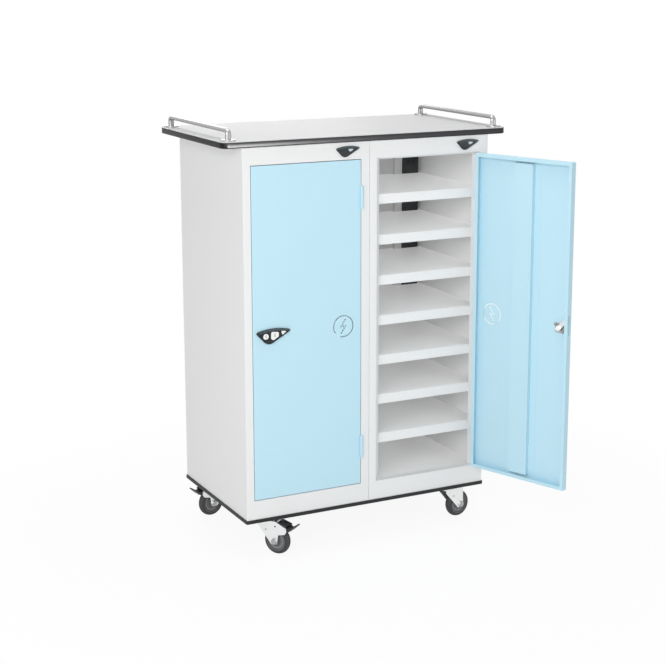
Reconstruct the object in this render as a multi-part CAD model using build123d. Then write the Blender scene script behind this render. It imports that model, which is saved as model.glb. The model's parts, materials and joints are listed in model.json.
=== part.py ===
from build123d import *
import math
import os

# Charging trolley: two tall lockers of eight bays under one worktop, on four swivel castors.
# Millimetres. While it is built, X runs right from the body's left side, Y runs back from
# the front face and Z is up from the floor. The origin is moved at the very end.

# Locker units
unit_names = ("left", "right")
unit_width = 380.5
unit_seam = 1.0
body_depth = 454.0
body_height = 1036.0
sheet = 1.2
edge_round = 1.0

# Castors
castor_inset_x = 84.0
castor_inset_y = 48.0
castor_trail = 33.0
wheel_diameter = 80.0
wheel_headroom = 28.0
tyre_width = 24.0
tyre_wall = 9.0
tread_crown = 3.0
web_thickness = 13.0
web_ring = 2.0
hub_width = 30.0
hub_radius = 11.0
hub_clearance = 0.5
axle_radius = 4.0
axle_head_radius = 9.0
axle_head = 5.0
running_fit = 0.05
fork_sheet = 2.5
crown_radius = 28.0
crown_thickness = 7.0
race_gap = 0.5
cup_radius = 23.0
cup_height = 6.5
kingpin_radius = 6.0
kingpin_head_radius = 9.0
kingpin_head = 2.5
castor_plate_x = 95.0
castor_plate_y = 67.0
castor_plate = 2.5
castor_plate_corner = 8.0
castor_bolt_margin_x = 10.0
castor_bolt_margin_y = 11.0
castor_bolt_radius = 4.0
castor_bolt_head_radius = 7.0
castor_bolt_head = 4.5
castor_bolt_bite = 8.0
brake_pivot_out = 3.0
brake_over_wheel = 5.0
brake_pin_radius = 2.5
brake_clearance = 0.6

# Direction in which each wheel trails its swivel, in degrees from X
castor_angles = {"front_left": -58.9, "front_right": 12.1, "rear_left": 193.3, "rear_right": 62.0}
braked_castors = ("front_left", "rear_left")

# Base
base_height = 10.0
bumper_proud = 3.5
base_corner = 6.0

# Worktop
worktop_side_overhang = 58.0
worktop_front_overhang = 8.0
worktop_rear_overhang = 6.0
worktop_thickness = 18.0
worktop_corner = 22.0
laminate = 2.0
edging = 2.0

# Handles
handle_inset = 28.0
handle_front_inset = 29.0
handle_rear_inset = 21.0
handle_rise = 33.0
handle_width = 17.0
handle_height = 12.0
handle_wall = 1.5
handle_bend = 10.0
flange_radius = 21.0
flange_thickness = 3.5

# Doors
door_margin = 24.5
door_hinge_margin = 27.0
door_sill = 56.0
door_header = 50.5
door_thickness = 19.0
door_sheet = 1.0
door_gap = 2.0
door_lip = 10.0
door_open_angle = 110.0
stiffener_width = 65.0
stiffener_foot = 20.0
stiffener_rise = 14.0
stiffener_sheet = 0.8
stiffener_end_gap = 16.0

# Front frames
ledge_lock_overlap = 15.5
ledge_hinge_overlap = 11.5
ledge_top_overlap = 4.8
door_rear_gap = 1.8

# Hinges
hinge_length = 64.0
hinge_split = 0.5
hinge_from_top = 103.5
hinge_from_bottom = 110.5
knuckle_radius = 4.0
knuckle_stand_off = 0.4
hinge_pin_radius = 2.0
leaf_thickness = 1.2
leaf_depth = 16.0

# Bays
shelf_pitch = 115.8
top_bay = 154.0
least_low_bay = 100.0
shelf_lip = 27.0
shelf_return = 10.0
shelf_clearance = 0.3
bay_floor = 46.0
wiring_space = 61.0

# Charging strip, measured from the right side of its unit, and the cable channel beside it
strip_margin = 10.0
strip_width = 55.0
strip_depth = 14.0
strip_notch_gap = 2.0
socket_size = 40.0
socket_recess = 1.5
channel_width = 26.0
channel_depth = 10.0

# Rear
access_margin = 30.25
access_header = 110.0
access_sill = 126.0
access_overlap = 15.0
vent_rows = 6
vent_pitch = 14.0
vent_length = 70.0
vent_height = 5.0
vent_spacing = 100.0
vent_top_margin = 60.0
panel_screw_radius = 2.5
panel_screw_head_radius = 4.5
panel_screw_head = 2.0
panel_screw_length = 8.0
panel_screw_inset = 7.5
inlet_width = 24.0
inlet_height = 16.0
inlet_depth = 15.0
inlet_wall = 3.0
inlet_ear = 9.0
inlet_flange = 2.0
inlet_blade = 9.0
inlet_above_floor = 40.0

# Lock, measured from the lock edge and the bottom edge of the door
lock_from_edge = 36.0
lock_from_bottom = 464.0
escutcheon_before_lock = 29.9
escutcheon_above_lock = 11.0
escutcheon_thickness = 6.0
escutcheon_bevel = 1.2
lock_hole_gap = 1.0
plug_gap = 0.3
plug_head_radius = 8.0
plug_head = 1.5
plug_radius = 5.5
key_slit_width = 1.6
key_slit_height = 8.0
key_slit_depth = 1.2
housing_width = 30.0
housing_height = 26.0
housing_plate = 3.0
housing_boss_radius = 8.5
housing_depth = 8.0
housing_corner = 5.0
stud_radius = 4.0
stud_proud = 4.0
stud_out = 12.5
stud_rise = 10.0
cam_reach = 38.0
cam_half_width = 6.0
cam_hub_radius = 8.5
cam_thickness = 2.5
cam_clearance = 0.4
cam_rest_angle = 45.0
cam_nut_radius = 7.0
cam_nut = 4.0
cam_slot_below = 16.0
cam_slot_above = 41.0
cam_slot_gap = 1.0
disc_after_lock = 25.0
window_after_lock = 43.0
insert_pocket = 1.0
insert_proud = 0.4

# Perforated emblem field in each door: an open ring of small holes with a lightning flash inside
ring_from_edge = 274.5
ring_from_bottom = 467.0
ring_radius = 30.0
ring_holes = 27
ring_gap_holes = 3
ring_gap_start = 222.0
hole_radius = 2.2
flash_top_out = 6.0
flash_waist_out = 7.0
flash_rise = 18.0

# Shield outline of the escutcheons, and of the fascia badges at a smaller size
shield_width = 108.7
shield_drop = 39.0
shield_tilt = 1.5
shield_arch = 9.3
shield_crown_out = 55.2
shield_point_out = 36.7
badge_scale = 0.707
badge_from_right = 105.8
badge_above_door = 33.1
badge_thickness = 4.0
badge_bevel = 0.8

castor_height = wheel_diameter + wheel_headroom
carcass_bottom = castor_height + base_height
carcass_top = carcass_bottom + body_height
worktop_top = carcass_top + worktop_thickness
unit_lefts = [k * (unit_width + unit_seam) for k in range(len(unit_names))]
body_width = unit_lefts[-1] + unit_width
worktop_left = -worktop_side_overhang
worktop_right = body_width + worktop_side_overhang

door_bottom = carcass_bottom + door_sill
door_top = carcass_top - door_header
door_width = unit_width - door_margin - door_hinge_margin
pocket_depth = door_thickness + door_rear_gap
frame_depth = pocket_depth + sheet
shelf_front = frame_depth + shelf_clearance
floor_top = carcass_bottom + bay_floor
top_shelf = carcass_top - top_bay
spare_height = top_shelf - shelf_lip - least_low_bay - floor_top
shelf_tops = [top_shelf - k * shelf_pitch for k in range(int(spare_height / shelf_pitch) + 1)]
rear_wall_depth = body_depth - wiring_space
strip_left = unit_width - strip_margin - strip_width
access_low = carcass_bottom + access_sill
access_high = carcass_top - access_header
access_half = unit_width / 2 - access_margin

handle_front = handle_front_inset - worktop_front_overhang
handle_back = body_depth + worktop_rear_overhang - handle_rear_inset

axle_height = wheel_diameter / 2
brake_height = wheel_diameter + brake_over_wheel
fork_gap = hub_width + 2 * hub_clearance
fork_outer = fork_gap / 2 + fork_sheet
race_level = castor_height - castor_plate - cup_height
crown_top = race_level - race_gap
crown_bottom = crown_top - crown_thickness

cam_front = door_sheet + housing_depth + cam_clearance
cam_back = cam_front + cam_thickness
plug_seat = plug_head - escutcheon_thickness

# Hinge axis, from the door's hinge edge and the front face
axis_out = door_gap / 2
axis_front = -(knuckle_radius + knuckle_stand_off)

parts = {}


def block(x0, x1, y0, y1, z0, z1):
    """A box from its limits."""
    centre = ((x0 + x1) / 2, (y0 + y1) / 2, (z0 + z1) / 2)
    return Pos(*centre) * Box(x1 - x0, y1 - y0, z1 - z0)


def rod_y(x, z, radius, y0, y1):
    """A cylinder along Y."""
    return Pos(x, (y0 + y1) / 2, z) * Rot(90, 0, 0) * Cylinder(radius, y1 - y0)


def rod_z(x, y, radius, z0, z1):
    """A cylinder along Z."""
    return Pos(x, y, (z0 + z1) / 2) * Cylinder(radius, z1 - z0)


def hexagon_y(x, z, radius, y0, y1):
    """A hexagonal nut along Y."""
    face = Plane((x, y0, z), x_dir=(1, 0, 0), z_dir=(0, 1, 0)) * RegularPolygon(radius, 6)
    return extrude(face, y1 - y0)


def slab(points, y0, y1, radii=None):
    """A plate between y0 and y1 whose outline in X and Z has the given points and corner radii."""
    corners = [Vector(x, y0, z) for x, z in points]
    face = make_face(Polyline(*corners, close=True))
    for corner, radius in zip(corners, radii or []):
        if radius > 0:
            face = fillet(face.vertices().sort_by_distance(corner)[0], radius)
    return extrude(face, y1 - y0, dir=(0, 1, 0))


def shield(left, tip_z, scale, y0, y1):
    """The trolley's badge outline: an arched top edge, two straight flanks and a blunt lower point."""
    tip_left = Vector(left, y0, tip_z)
    tip_right = Vector(left + shield_width * scale, y0, tip_z + shield_tilt * scale)
    crown = Vector(left + shield_crown_out * scale, y0, tip_z + shield_arch * scale)
    point = Vector(left + shield_point_out * scale, y0, tip_z - shield_drop * scale)
    arch = ThreePointArc(tip_left, crown, tip_right)
    face = make_face([arch, Line(tip_right, point), Line(point, tip_left)])
    for corner, radius in ((tip_left, 4.5), (tip_right, 3.5), (point, 22.0)):
        face = fillet(face.vertices().sort_by_distance(corner)[0], radius * scale)
    return extrude(face, y1 - y0, dir=(0, 1, 0))


def turned(profile):
    """A solid of revolution about Y from a closed half profile of radius and Y pairs."""
    corners = [Vector(radius, y, 0) for radius, y in profile]
    return revolve(make_face(Polyline(*corners, close=True)), Axis.Y)


def carcass(x):
    """Side, top, floor and back sheets of one locker, behind its front frame."""
    right = x + unit_width
    sheets = []
    for outer, inner in ((x, x + sheet), (right, right - sheet)):
        side = block(*sorted((outer, inner)), sheet, body_depth, carcass_bottom, carcass_top)
        uprights = side.edges().filter_by(Axis.Z)
        sheets.append(fillet(uprights.sort_by_distance(Vector(outer, body_depth, carcass_top))[0], edge_round))
    back = (body_depth - sheet, body_depth)
    for top in (carcass_top, floor_top):
        sheets.append(block(x + sheet, right - sheet, sheet, back[0], top - sheet, top))
    opening_left = x + access_margin + access_overlap
    opening_right = right - access_margin - access_overlap
    for x0, x1 in ((x + sheet, opening_left), (opening_right, right - sheet)):
        sheets.append(block(x0, x1, *back, carcass_bottom, carcass_top))
    low = access_low + access_overlap
    high = access_high - access_overlap
    for z0, z1 in ((carcass_bottom, low), (high, carcass_top)):
        sheets.append(block(opening_left, opening_right, *back, z0, z1))
    cutters = [rod_y(sx, z, panel_screw_radius, back[0] - 1, body_depth + 1) for sx, z in access_screws(x)]
    cutters.append(inlet_block(inlet_wall, inlet_wall, back[0] - 1, body_depth + 1))
    return [piece - cutters for piece in sheets]


def access_screws(x):
    """Places of the screws round one access panel, as X and Z."""
    middle = x + unit_width / 2
    out = access_half - panel_screw_inset
    low = access_low + panel_screw_inset
    rise = access_high - panel_screw_inset - low
    return [(middle + side * out, low + rise * step / 2) for side in (-1, 1) for step in range(3)]


def front_frame(x):
    """Folded face with a pocket for the door and a ledge that the door closes on."""
    left = x + door_margin - door_gap
    right = x + door_margin + door_width + door_gap
    low = door_bottom - door_gap
    high = door_top + door_gap
    face = block(x, x + unit_width, 0, sheet, carcass_bottom, carcass_top)
    front_corners = face.edges().filter_by(Axis.Z).group_by(Axis.Y)[0]
    face = fillet(front_corners, edge_round)
    wall = block(left - sheet, right + sheet, 0, frame_depth, low - sheet, high + sheet)
    frame = face + wall
    frame -= block(left, right, -1, pocket_depth, low, high)
    opening_left = left + door_gap + ledge_lock_overlap
    opening_right = right - door_gap - ledge_hinge_overlap
    frame -= block(opening_left, opening_right, 0, frame_depth + 1, low, door_top - ledge_top_overlap)
    return frame - cam_slot(x, left - 2 * sheet, left + 1)


def cam_slot(x, x0, x1):
    """Cutter for the slots that the cam passes through, between two X limits."""
    lock_z = lock_place(x)[1]
    low = lock_z - cam_slot_below
    return block(x0, x1, cam_front - cam_slot_gap, cam_back + cam_slot_gap, low, lock_z + cam_slot_above)


def shelves(x):
    """Shelves with a folded front lip, notched round the charging strip."""
    left = x + sheet + shelf_clearance
    right = x + unit_width - sheet - shelf_clearance
    made = []
    for top in shelf_tops:
        shelf = block(left, right, shelf_front, rear_wall_depth, top - sheet, top)
        shelf += block(left, right, shelf_front, shelf_front + sheet, top - shelf_lip, top)
        low = top - shelf_lip
        shelf += block(left, right, shelf_front, shelf_front + shelf_return, low, low + sheet)
        notch_left = x + strip_left - channel_width - strip_notch_gap
        notch_right = x + strip_left + strip_width + strip_notch_gap
        notch_front = rear_wall_depth - strip_depth - strip_notch_gap
        shelf -= block(notch_left, notch_right, notch_front, rear_wall_depth + 1, top - 2 * sheet, top + 1)
        made.append(shelf)
    return made


def rear_wall(x):
    """Inner back wall of the bays, with its raised cable channel beside the charging strip."""
    high = carcass_top - sheet
    inner = (x + sheet, x + unit_width - sheet)
    wall = block(*inner, rear_wall_depth, rear_wall_depth + sheet, floor_top, high)
    right = x + strip_left
    left = right - channel_width
    front = rear_wall_depth - channel_depth
    wall += block(left, right, front, rear_wall_depth, floor_top, high)
    back = rear_wall_depth + sheet + 1
    return wall - block(left + sheet, right - sheet, front + sheet, back, floor_top - 1, high + 1)


def socket_strip(x):
    """Upright charging strip with one shallow socket face in each bay."""
    left = x + strip_left
    front = rear_wall_depth - strip_depth
    high = carcass_top - sheet
    strip = block(left, left + strip_width, front, rear_wall_depth, floor_top, high)
    strip = fillet(strip.edges().filter_by(Axis.Z).group_by(Axis.Y)[0], edge_round)
    middle = left + strip_width / 2
    half = socket_size / 2
    for top in shelf_tops + [shelf_tops[-1] - shelf_pitch]:
        centre = top + (shelf_pitch - shelf_lip) / 2
        limits = (middle - half, middle + half, front - 1, front + socket_recess)
        strip -= block(*limits, centre - half, centre + half)
    return strip


def access_panel(x):
    """Screwed rear panel over the wiring space, with two columns of cooling slots."""
    middle = x + unit_width / 2
    limits = (middle - access_half, middle + access_half)
    panel = block(*limits, body_depth, body_depth + sheet, access_low, access_high)
    for row in range(vent_rows):
        level = access_high - vent_top_margin - row * vent_pitch
        for side in (-1, 1):
            slot = SlotOverall(vent_length, vent_height)
            centre = (middle + side * vent_spacing / 2, body_depth - 1, level)
            panel -= extrude(Plane(centre, x_dir=(1, 0, 0), z_dir=(0, 1, 0)) * slot, sheet + 2)
    for sx, z in access_screws(x):
        panel -= rod_y(sx, z, panel_screw_radius, body_depth - 1, body_depth + sheet + 1)
    return panel


def panel_screws(x):
    """Pan-head screws of one access panel."""
    made = []
    seat = body_depth + sheet
    for sx, z in access_screws(x):
        screw = rod_y(sx, z, panel_screw_radius, seat - panel_screw_length, seat)
        head = rod_y(sx, z, panel_screw_head_radius, seat, seat + panel_screw_head)
        rim = head.edges().filter_by(GeomType.CIRCLE).group_by(Axis.Y)[-1]
        made.append(screw + fillet(rim, panel_screw_head / 2))
    return made


def inlet_centre():
    """Middle of the mains inlet in X and Z, low on the back of the right locker."""
    return unit_lefts[-1] + unit_width / 2, floor_top + inlet_above_floor


def inlet_block(spread_x, spread_z, y0, y1):
    """A box round the mains inlet's well, wider than it by the given spreads."""
    x, z = inlet_centre()
    out = inlet_width / 2 + spread_x
    rise = inlet_height / 2 + spread_z
    return block(x - out, x + out, y0, y1, z - rise, z + rise)


def mains_inlet():
    """Panel inlet with an earth blade and two side blades in a shallow well."""
    x, z = inlet_centre()
    face = body_depth + inlet_flange
    well = face - inlet_depth
    body = inlet_block(inlet_wall + inlet_ear, 2 * inlet_wall, body_depth, face)
    body += inlet_block(inlet_wall, inlet_wall, well - inlet_wall, body_depth)
    body -= inlet_block(0, 0, well, face + 1)
    for dx, dz in ((-1, -1), (0, 1), (1, -1)):
        blade_x = x + dx * inlet_width * 0.29
        blade_z = z + dz * inlet_height * 0.13
        body += block(blade_x - 1, blade_x + 1, well, well + inlet_blade, blade_z - 2, blade_z + 2)
    return body


def handle(x):
    """Grab rail: an oval tube bent down into two posts that stand on the worktop."""
    level = worktop_top + handle_rise - handle_height / 2
    foot = (x, handle_front, worktop_top)
    bends = [(x, handle_front, level), (x, handle_back, level)]
    path = FilletPolyline(foot, *bends, (x, handle_back, worktop_top), radius=handle_bend)
    section = Plane(foot) * Ellipse(handle_width / 2, handle_height / 2)
    bore = Plane(foot) * Ellipse(handle_width / 2 - handle_wall, handle_height / 2 - handle_wall)
    return sweep(section, path) - sweep(bore, path)


def handle_flanges(x):
    """Round foot plates of one handle."""
    made = []
    for y in (handle_front, handle_back):
        flange = rod_z(x, y, flange_radius, worktop_top, worktop_top + flange_thickness)
        flange = fillet(flange.edges().group_by(Axis.Z)[-1], flange_thickness / 2)
        foot = Ellipse(handle_width / 2 + running_fit, handle_height / 2 + running_fit)
        made.append(flange - extrude(Plane((x, y, worktop_top - 1)) * foot, flange_thickness + 2))
    return made


def worktop():
    """Laminated board and the dark edging round its core."""
    width = worktop_right - worktop_left
    depth = worktop_front_overhang + body_depth + worktop_rear_overhang
    centre = (body_width / 2, depth / 2 - worktop_front_overhang)
    low = Plane((*centre, carcass_top))
    outline = RectangleRounded(width, depth, worktop_corner)
    core = RectangleRounded(width - 2 * edging, depth - 2 * edging, worktop_corner - edging)
    core_height = worktop_thickness - laminate
    core_block = extrude(low * core, core_height)
    top = extrude(Plane((*centre, carcass_top + core_height)) * outline, laminate)
    top = fillet(top.edges().group_by(Axis.Z)[-1], laminate / 3)
    band = extrude(low * outline, core_height)
    band = fillet(band.edges().group_by(Axis.Z)[0], edging / 2)
    return core_block + top, band - core_block


def base():
    """Base board under both lockers, and the dark bumper strip round its lower edge."""
    board = block(0, body_width, 0, body_depth, castor_height, carcass_bottom)
    proud = bumper_proud
    outer = block(-proud, body_width + proud, -proud, body_depth + proud, castor_height, carcass_bottom)
    outer = fillet(outer.edges().filter_by(Axis.Z), base_corner)
    rims = outer.edges().group_by(Axis.Z)
    outer = fillet(rims[-1] + rims[0], proud / 3)
    return board, outer - board


def door_skin(x):
    """Door pan: a face sheet with the lock hole and a field of small holes, and four folded edges."""
    left = x + door_margin
    right = left + door_width
    face = block(left, right, 0, door_sheet, door_bottom, door_top)
    face = fillet(face.edges().group_by(Axis.Y)[0], door_sheet * 0.8)
    lock_x, lock_z = lock_place(x)
    cutters = [rod_y(lock_x, lock_z, plug_radius + lock_hole_gap, -1, 2 * door_sheet)]
    for hx, hz in emblem_holes():
        hole_x = left + ring_from_edge + hx
        hole_z = door_bottom + ring_from_bottom + hz
        cutters.append(rod_y(hole_x, hole_z, hole_radius, -1, 2 * door_sheet))
    pieces = [face - cutters]
    lip_front = door_thickness - door_sheet
    for outer, side in ((left, 1), (right, -1)):
        wall = sorted((outer, outer + side * door_sheet))
        lip = sorted((outer, outer + side * door_lip))
        folded = block(*wall, door_sheet, lip_front, door_bottom, door_top)
        folded += block(*lip, lip_front, door_thickness, door_bottom, door_top)
        pieces.append(folded - cam_slot(x, left - 1, left + 2 * door_sheet))
    for outer, side in ((door_bottom, 1), (door_top, -1)):
        wall = sorted((outer, outer + side * door_sheet))
        lip = sorted((outer, outer + side * door_lip))
        folded = block(left + door_sheet, right - door_sheet, door_sheet, lip_front, *wall)
        folded += block(left + door_lip, right - door_lip, lip_front, door_thickness, *lip)
        pieces.append(folded)
    return pieces


def emblem_holes():
    """Centres of the small holes: a ring with a gap, and a lightning flash of three straight legs."""
    holes = []
    for k in range(ring_holes):
        angle = math.radians(ring_gap_start + (k + ring_gap_holes) * 360 / (ring_holes + ring_gap_holes))
        holes.append((ring_radius * math.cos(angle), ring_radius * math.sin(angle)))
    top = (flash_top_out, flash_rise)
    foot = (-flash_top_out, -flash_rise)
    waist = ((-flash_waist_out, 0), (flash_waist_out, 0))
    for start, end, steps in ((top, waist[0], 3), (*waist, 2), (waist[1], foot, 3)):
        for k in range(steps):
            holes.append(tuple(a + (b - a) * k / steps for a, b in zip(start, end)))
    return [*holes, foot]


def door_stiffener(x):
    """Hat section welded up the middle of the door's inner face."""
    middle = x + door_margin + door_width / 2
    low = door_bottom + stiffener_end_gap
    high = door_top - stiffener_end_gap
    half = stiffener_width / 2
    top = door_sheet + stiffener_rise
    hat = block(middle - half, middle + half, door_sheet, top, low, high)
    inner = half - stiffener_sheet
    hat -= block(middle - inner, middle + inner, 0, top - stiffener_sheet, low - 1, high + 1)
    for side in (-1, 1):
        x0, x1 = sorted((middle + side * inner, middle + side * (half + stiffener_foot)))
        hat += block(x0, x1, door_sheet, door_sheet + stiffener_sheet, low, high)
    return hat


def hinge_half(axis_x, level, height, leaf_side):
    """One half of a lift-off hinge: a bored knuckle with a leaf that runs back into the door gap."""
    gap_side = axis_x + leaf_side * axis_out
    limits = sorted((gap_side, gap_side - leaf_side * leaf_thickness))
    half = rod_z(axis_x, axis_front, knuckle_radius, level, level + height)
    half += block(*limits, axis_front, leaf_depth, level, level + height)
    return half - rod_z(axis_x, axis_front, hinge_pin_radius + running_fit, level - 1, level + height + 1)


def hinges(x):
    """Lower halves with their pins on the frame, and upper halves on the door."""
    axis_x = x + door_margin + door_width + axis_out
    height = (hinge_length - hinge_split) / 2
    frame_side = []
    door_side = []
    for middle in (door_bottom + hinge_from_bottom, door_top - hinge_from_top):
        level = middle - hinge_length / 2
        frame_side.append(hinge_half(axis_x, level, height, 1))
        pin_top = level + hinge_length - hinge_pin_radius
        frame_side.append(rod_z(axis_x, axis_front, hinge_pin_radius, level + hinge_split, pin_top))
        door_side.append(hinge_half(axis_x, level + height + hinge_split, height, -1))
    return frame_side, door_side


def lock_place(x):
    """Axis of a door's lock in X and Z."""
    return x + door_margin + lock_from_edge, door_bottom + lock_from_bottom


def lock_escutcheon(x):
    """Dark shield plate round the lock, with shallow pockets for the number disc and the window."""
    lock_x, lock_z = lock_place(x)
    front = -escutcheon_thickness
    plate = shield(lock_x - escutcheon_before_lock, lock_z + escutcheon_above_lock, 1, front, 0)
    plate = chamfer(plate.edges().group_by(Axis.Y)[0], escutcheon_bevel)
    plate -= rod_y(lock_x, lock_z, plug_head_radius + plug_gap, front - 1, plug_seat)
    plate -= rod_y(lock_x, lock_z, plug_radius + plug_gap, front - 1, 1)
    return plate - lock_inserts(x)


def lock_inserts(x):
    """Number disc, five-cornered with round corners, and the small three-cornered window beside it."""
    lock_x, lock_z = lock_place(x)
    front = -escutcheon_thickness - insert_proud
    back = -escutcheon_thickness + insert_pocket
    disc_x = lock_x + disc_after_lock
    disc = [
        (disc_x - 10, lock_z + 12), (disc_x + 13.5, lock_z + 10), (disc_x + 13, lock_z - 3),
        (disc_x - 3, lock_z - 12), (disc_x - 10, lock_z - 8),
    ]
    pane_x = lock_x + window_after_lock
    pane = [(pane_x + 2.5, lock_z + 12), (pane_x + 19.5, lock_z + 10), (pane_x + 5.5, lock_z)]
    return [slab(disc, front, back, [5, 5, 5, 5, 4]), slab(pane, front, back, [2, 1.5, 2])]


def lock_housing(x):
    """Zinc lock body on the inner face of the door, with two fixing studs on a diagonal."""
    lock_x, lock_z = lock_place(x)
    front = door_sheet
    half = housing_width / 2
    rise = housing_height / 2
    body = block(lock_x - half, lock_x + half, front, front + housing_plate, lock_z - rise, lock_z + rise)
    body = fillet(body.edges().filter_by(Axis.Y), housing_corner)
    body += rod_y(lock_x, lock_z, housing_boss_radius, front, front + housing_depth)
    for side in (-1, 1):
        stud_x = lock_x + side * stud_out
        stud_z = lock_z + side * stud_rise
        body += rod_y(stud_x, stud_z, stud_radius, front, front + housing_plate + stud_proud)
    return body - rod_y(lock_x, lock_z, plug_radius + running_fit, front - 1, front + housing_depth + 1)


def lock_plug(x):
    """Turning lock plug with its round face and key slit."""
    lock_x, lock_z = lock_place(x)
    face = -escutcheon_thickness - insert_proud
    plug = rod_y(lock_x, lock_z, plug_head_radius, face, plug_seat)
    plug = fillet(plug.edges().filter_by(GeomType.CIRCLE).group_by(Axis.Y)[0], 0.5)
    plug += rod_y(lock_x, lock_z, plug_radius, plug_seat, cam_back + cam_nut)
    out = key_slit_width / 2
    rise = key_slit_height / 2
    slit_back = face + key_slit_depth
    return plug - block(lock_x - out, lock_x + out, face - 1, slit_back, lock_z - rise, lock_z + rise)


def lock_cam(x):
    """Cam plate and its nut on the back of the plug, turned to the rest angle."""
    lock_x, lock_z = lock_place(x)
    tip_x = lock_x - cam_reach
    cam = block(tip_x, lock_x, cam_front, cam_back, lock_z - cam_half_width, lock_z + cam_half_width)
    cam += rod_y(tip_x, lock_z, cam_half_width, cam_front, cam_back)
    cam += rod_y(lock_x, lock_z, cam_hub_radius, cam_front, cam_back)
    shaft = rod_y(lock_x, lock_z, plug_radius, 0, cam_back + cam_nut + 1)
    turn = Pos(lock_x, 0, lock_z) * Rot(0, cam_rest_angle, 0) * Pos(-lock_x, 0, -lock_z)
    nut = hexagon_y(lock_x, lock_z, cam_nut_radius, cam_back, cam_back + cam_nut)
    return [turn * (cam - shaft), nut - shaft]


def fascia_badge(x):
    """Small shield badge above the door, and its clear lens."""
    left = x + unit_width - badge_from_right
    tip_z = door_top + badge_above_door
    badge = shield(left, tip_z, badge_scale, -badge_thickness, 0)
    badge = chamfer(badge.edges().group_by(Axis.Y)[0], badge_bevel)
    points = [(left + 36.5, tip_z - 0.8), (left + 58.5, tip_z - 1.2), (left + 43, tip_z - 9.5)]
    lens = slab(points, -badge_thickness - insert_proud, -badge_thickness + insert_pocket, [2, 2, 3])
    return badge - lens, lens


def swing(x, open_angle):
    """Movement that carries a closed door to an opening angle about its hinge axis."""
    axis_x = x + door_margin + door_width + axis_out
    return Pos(axis_x, axis_front, 0) * Rot(0, 0, open_angle) * Pos(-axis_x, -axis_front, 0)


def castor_axis(name):
    """Swivel axis of a castor in X and Y."""
    x = castor_inset_x if "left" in name else body_width - castor_inset_x
    y = castor_inset_y if "front" in name else body_depth - castor_inset_y
    return x, y


def castor_place(name):
    """Movement that carries a castor from its own frame, where it trails along +X, to its place."""
    x, y = castor_axis(name)
    return Pos(x, y, 0) * Rot(0, 0, castor_angles[name])


def castor_mounting(x, y):
    """Top plate, bearing cup and kingpin of one castor."""
    low = castor_height - castor_plate
    plate = Pos(x, y, castor_height - castor_plate / 2) * Box(castor_plate_x, castor_plate_y, castor_plate)
    plate = fillet(plate.edges().filter_by(Axis.Z), castor_plate_corner)
    plate += rod_z(x, y, cup_radius, race_level, low)
    head_top = crown_bottom - race_gap
    plate += rod_z(x, y, kingpin_radius, head_top - kingpin_head, race_level)
    plate += rod_z(x, y, kingpin_head_radius, head_top - kingpin_head, head_top)
    for bx, by in castor_bolt_places(x, y):
        plate -= rod_z(bx, by, castor_bolt_radius, low - 1, castor_height + 1)
    return plate


def castor_bolt_places(x, y):
    """Places of the four bolts of one castor plate."""
    out = castor_plate_x / 2 - castor_bolt_margin_x
    along = castor_plate_y / 2 - castor_bolt_margin_y
    return [(x + sx * out, y + sy * along) for sx in (-1, 1) for sy in (-1, 1)]


def castor_bolt(x, y):
    """Bolt up through a castor plate into the base board."""
    low = castor_height - castor_plate
    head_face = Plane((x, y, low - castor_bolt_head)) * RegularPolygon(castor_bolt_head_radius, 6)
    return extrude(head_face, castor_bolt_head) + rod_z(x, y, castor_bolt_radius, low, low + castor_bolt_bite)


def castor_fork(braked):
    """Pressed fork: bearing crown and two cheeks down to the axle, trailing along +X."""
    cheek = [
        (-crown_radius + 3, crown_top), (castor_trail + 9, crown_top), (castor_trail + 9, axle_height - 9),
        (castor_trail - 11, axle_height - 9), (-crown_radius + 3, crown_top - 14),
    ]
    radii = [4, 4, 9, 7, 6]
    pivot_x = castor_trail + brake_pivot_out
    if braked:
        cheek[1:2] = [
            (castor_trail + 5, crown_top), (castor_trail + 39, brake_height),
            (castor_trail + 41, brake_height - 8), (castor_trail + 35, axle_height + 26),
            (castor_trail + 13, axle_height + 21),
        ]
        radii[1:2] = [6, 5, 5, 5, 4]
    fork = rod_z(0, 0, crown_radius, crown_bottom, crown_top)
    fork = fillet(fork.edges().group_by(Axis.Z)[-1], 2)
    bridge = crown_bottom + fork_sheet
    fork += block(-crown_radius + 6, crown_radius - 4, -fork_outer, fork_outer, crown_bottom, bridge)
    for side in (-1, 1):
        y0, y1 = sorted((side * fork_gap / 2, side * fork_outer))
        leg = slab(cheek, y0, y1, radii)
        leg -= rod_y(castor_trail, axle_height, axle_radius, y0 - 1, y1 + 1)
        if braked:
            leg -= rod_y(pivot_x, brake_height, brake_pin_radius + running_fit, y0 - 1, y1 + 1)
        fork += leg
    return fork - rod_z(0, 0, kingpin_radius + running_fit, crown_bottom - 5, crown_top + 1)


def castor_axle():
    """Axle bolt with its head and nut outside the cheeks."""
    axle = rod_y(castor_trail, axle_height, axle_radius, -fork_outer, fork_outer)
    for y in (-fork_outer - axle_head, fork_outer):
        axle += hexagon_y(castor_trail, axle_height, axle_head_radius, y, y + axle_head)
    return axle


def wheel_core():
    """Moulded wheel centre: hub, dished web with a raised ring, and rim."""
    rim = wheel_diameter / 2 - tyre_wall
    bore = axle_radius + running_fit
    web = web_thickness / 2
    edge = tyre_width / 2 - 1
    half = [
        (bore, hub_width / 2), (hub_radius, hub_width / 2), (hub_radius + 1.5, web + 1.5), (rim * 0.62, web),
        (rim * 0.66, web + web_ring), (rim * 0.74, web + web_ring), (rim * 0.78, web), (rim - 3.5, web + 1),
        (rim - 2.5, edge), (rim, edge),
    ]
    profile = half + [(radius, -y) for radius, y in reversed(half)]
    return Pos(castor_trail, 0, axle_height) * turned(profile)


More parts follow.
